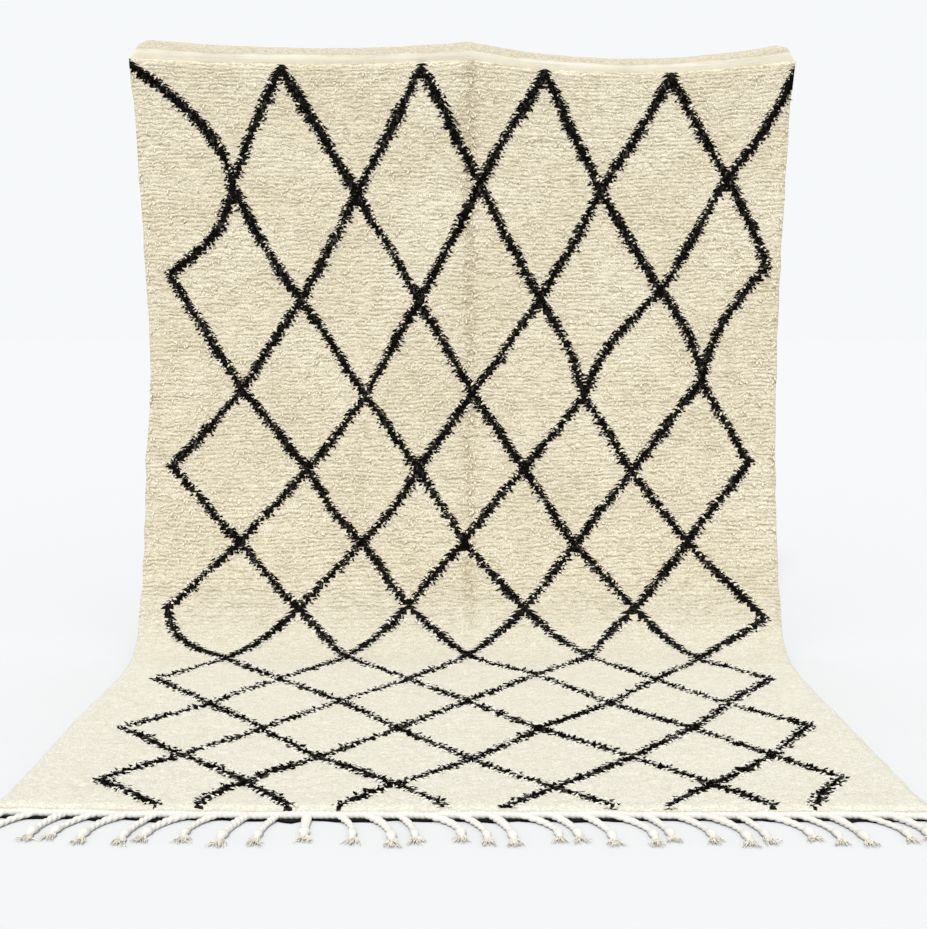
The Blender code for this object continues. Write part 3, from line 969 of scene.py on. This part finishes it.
def pile_material():
    """Ivory wool with painted shade in the valleys between its rows and locks, with the black lattice tufted
    into it.
    """
    shader = Shader("ivory_pile", 0.95, 0.0)
    between, mix, grain = shader.between, shader.mix, shader.grain
    low, middle, upright, gap, rib = shader.attributes("low", "middle", "upright", "line_gap", "rib")
    along = shader.cloth_part("Y")
    fibre, lock, sway, patch = grain(*FIBRES), grain(*LOCKS), grain(*SWAY), grain(*PATCHES)
    shows = between(grain(*BREAKS), 0.40, 0.60)

    # Painted shade in the rows' valleys, the hollows below the crests, between the curls and along the middle
    # crease.
    row = (sway - 0.5) * 2.3 + rib
    valley = ((row * (2 * math.pi)).work("COSINE") * -0.5 + 0.5) ** 2.5
    valley = valley * (shows * 0.85 + 0.15) * (upright * 0.95 + 0.05)
    curl_shade = between(lock, 0.62, 0.34) * (upright * 0.28 + 0.44)
    hollow = between(low, PILE_CLEARANCE + 0.0010, PILE_CLEARANCE + 0.0075)
    crease_shade = between(lock, 0.52, 0.43) * middle ** 2.5
    shade = valley * 0.34 + hollow * 0.22 + curl_shade + crease_shade * 0.75

    wool = mix(between(patch, 0.36, 0.66), WOOL_CREST, WOOL_BODY)
    # painted light: a paler, less yellow copy of the wool on the floor run
    wool = mix(between(along, *FLOOR_LIT_REACH), WOOL_FLOOR_LIT, wool)
    # painted shade on the bend and the lower hang, against the stronger light there
    shaded = between(along, *SHADED_BEND) + between(along, *SHADED_HANG)
    wool = mix(shaded * between(along, *SHADED_START), wool, WOOL_SHADED)
    # painted shadows under the rows, swaying with them
    wool = mix(between(sway, 0.52, 0.70, 0.0, 0.14), wool, WOOL_SHADE_TAN)
    # the painted shade darkens the wool
    wool = mix(shade.work("MINIMUM", 1.0), wool, WOOL_VALLEY_SHADE)
    # painted shade on the pile's front side, above the hem cord
    wool = mix(between(along, *FRONT_SIDE_SHADE, 0.65, 0.0), wool, WOOL_SHADE_TAN)
    # the wool's fibre grain, with painted shade in the gaps between strands and painted highlights on them
    wool = mix(between(fibre, 0.50, 0.70, 0.0, 0.22), wool, WOOL_VALLEY_SHADE)
    wool = mix(between(fibre, 0.48, 0.30, 0.0, 0.45), wool, WOOL_STRAND_HIGHLIGHT)
    # the black wool's fibre grain, its gaps in painted shade
    black = mix(fibre, BLACK_DEEP_SHADE, BLACK_TIP)
    black = mix(between(lock, 0.52, 0.64, 0.0, 0.6), black, BLACK_SHEEN)
    wool = mix(lattice_mask(shader, gap, rib, lock), wool, black)
    return shader.finish(wool, lock + fibre * 0.22 - valley * 0.55, 0.0042, 0.85)


def lock_material(name, root, tip, other, share=(-1.0, 1.0, 0.35)):
    """Wool of the locks: painted shade at the root, and some locks nearer to another colour.

    share gives the shades from which and to which that colour comes in, and how much of it there is then.
    """
    shader = Shader(name, 0.92, 0.0)
    shade, along = shader.attributes("shade", "tip")
    # painted shade at the root of each lock
    wool = shader.mix(shader.between(along, 0.0, 0.9), root, tip)
    wool = shader.mix(shader.between(shade, share[0], share[1], 0.0, share[2]), wool, other)
    return shader.finish(wool, shader.yarn_noise(900.0, 2.0, 0.6), 0.0006, 0.5)


def ground_material():
    """The plain woven band, and the back of the rug with its weft ridges and the lattice showing through."""
    shader = Shader("woven_ground", 0.9, 0.06)
    between, mix, grain = shader.between, shader.mix, shader.grain
    back, gap, band = shader.attributes("back", "line_gap", "band")
    along = shader.cloth_part("Y")
    weft, warp, ridge = grain(*WEFT), grain(*WARP), grain(*RIDGES)
    knot, rough, cloud = grain(*BACK_KNOTS), grain(*CREST_GRAIN), grain(*CLOUDS)
    crest = between((cloud - 0.5) * 0.02 + along, CREST_START - 0.005, CREST_START + 0.005)
    on_back = back * (band * -1.0 + 1.0)

    wool = mix(between(cloud, 0.35, 0.68), BAND_LIGHT, BAND_WARM)
    # painted shade where the band folds over at its crest
    wool = mix(crest, wool, CREST_FOLD_SHADE)
    wool = mix(between(weft, 0.55, 0.80, 0.0, 0.25), wool, BAND_LINE)
    wool = mix(between(ridge, 0.54, 0.66, 0.0, 0.25), wool, BAND_LINE)
    wool = mix(between(rough, 0.54, 0.42) * (crest * 0.75 + 0.10), wool, BAND_LINE)
    dark = mix(between(weft, 0.40, 0.62), BLACK_TIP, BACK_WEFT)
    wool = mix(between((knot - 0.5) * BACK_RAGGED + gap, 0.001, -0.003) * on_back, wool, dark)
    # painted shadow: the ground's end under the hem cord is black
    wool = mix(along.work("LESS_THAN", SHADOW_WEB_START), wool, BLACK_DEEP_SHADE)
    relief = weft * 0.7 + warp * 0.3 - ridge + rough * (crest * 2.0 + 0.5) + knot * on_back * 1.2
    return shader.finish(wool, relief, 0.0016, 0.6)


def fringe_material(name, speckle):
    """Undyed wool yarn, yellower and more flecked towards the frayed ends."""
    shader = Shader(name, 0.9, 0.08)
    between, mix = shader.between, shader.mix
    shade, tip = shader.attributes("shade", "tip")
    yarn, fleck = shader.yarn_noise(420.0, 3.0, 0.6), shader.yarn_noise(160.0, 2.0, 0.7)
    wool = mix(between(yarn, 0.35, 0.75, 0.0, 0.45), FRINGE_LIGHT, FRINGE_WARM)
    wool = mix(between(tip, 0.0, 0.6, 0.0, 0.60), wool, FRINGE_END)
    wool = mix(between(fleck, 0.55, 0.61) * (tip * speckle + 0.08), wool, FRINGE_FLECK)
    wool = mix(between(shade, -1.0, 1.0, 0.0, 0.25), wool, FRINGE_WARM)
    return shader.finish(wool, yarn, 0.0008, 0.6)


# ---- the stage, the light and the camera ----
def build_stage():
    """A large pale floor, under a pale sky."""
    material = bpy.data.materials.new("studio_floor")
    material.use_nodes = True
    surface = material.node_tree.nodes["Principled BSDF"]
    surface.inputs["Base Color"].default_value = (*FLOOR_COLOUR, 1.0)
    surface.inputs["Roughness"].default_value = 1.0
    surface.inputs["Specular IOR Level"].default_value = 0.0
    corners = np.array(((-1, -1, 0), (1, -1, 0), (1, 1, 0), (-1, 1, 0))) * FLOOR_REACH
    corners[:, 2] = FLOOR_DROP
    floor = make_object("studio_floor", corners, [(0, 1, 2, 3)], material)
    world = bpy.data.worlds.new("studio")
    world.use_nodes = True
    sky = world.node_tree.nodes["Background"]
    sky.inputs["Color"].default_value = (*SKY_COLOUR, 1.0)
    sky.inputs["Strength"].default_value = SKY_STRENGTH
    bpy.context.scene.world = world


def add_key_light():
    """A broad soft light from above, the front and a little to the left."""
    data = bpy.data.lights.new("key", "SUN")
    data.energy = KEY_STRENGTH
    data.angle = math.radians(KEY_ANGLE)
    light = bpy.data.objects.new("key", data)
    light.rotation_euler = tuple(math.radians(turn) for turn in KEY_TURN)
    bpy.context.scene.collection.objects.link(light)


def add_camera():
    data = bpy.data.cameras.new("camera")
    data.lens = CAMERA_LENS
    data.sensor_width = 36.0
    data.clip_end = 100.0
    camera = bpy.data.objects.new("camera", data)
    camera.location = (ORIGIN[0], ORIGIN[1] - CAMERA_DISTANCE, CAMERA_HEIGHT)
    camera.rotation_euler = (math.radians(90.0 - CAMERA_PITCH), 0.0, 0.0)
    bpy.context.scene.collection.objects.link(camera)
    bpy.context.scene.camera = camera


# ---- the rug ----
def dress(piece):
    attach(piece, "root")
    return piece


def build_rug():
    field = LatticeField()
    ivory = lock_material("ivory_locks", *IVORY_LOCKS)
    pale = lock_material("floor_lit_locks", *FLOOR_LIT_LOCKS)
    black = lock_material("black_locks", BLACK_DEEP_SHADE, BLACK_TIP, BLACK_SHEEN, (0.40, 1.0, 0.8))
    ground = dress(build_ground(field, ground_material()))
    pile = [dress(strip) for strip in build_pile(field, pile_material())]
    locks = [dress(piece)
             for piece in build_all_tufts(field, black, pale, ivory)]
    hem = dress(build_hem(fringe_material("hem_yarn", 0.0)))
    tassels = dress(build_tassels(fringe_material("tassel_yarn", 1.0)))
    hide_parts("rug")
    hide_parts("fringe")


build_stage()
build_rug()
add_key_light()
add_camera()
bpy.context.scene.view_settings.view_transform = "Standard"
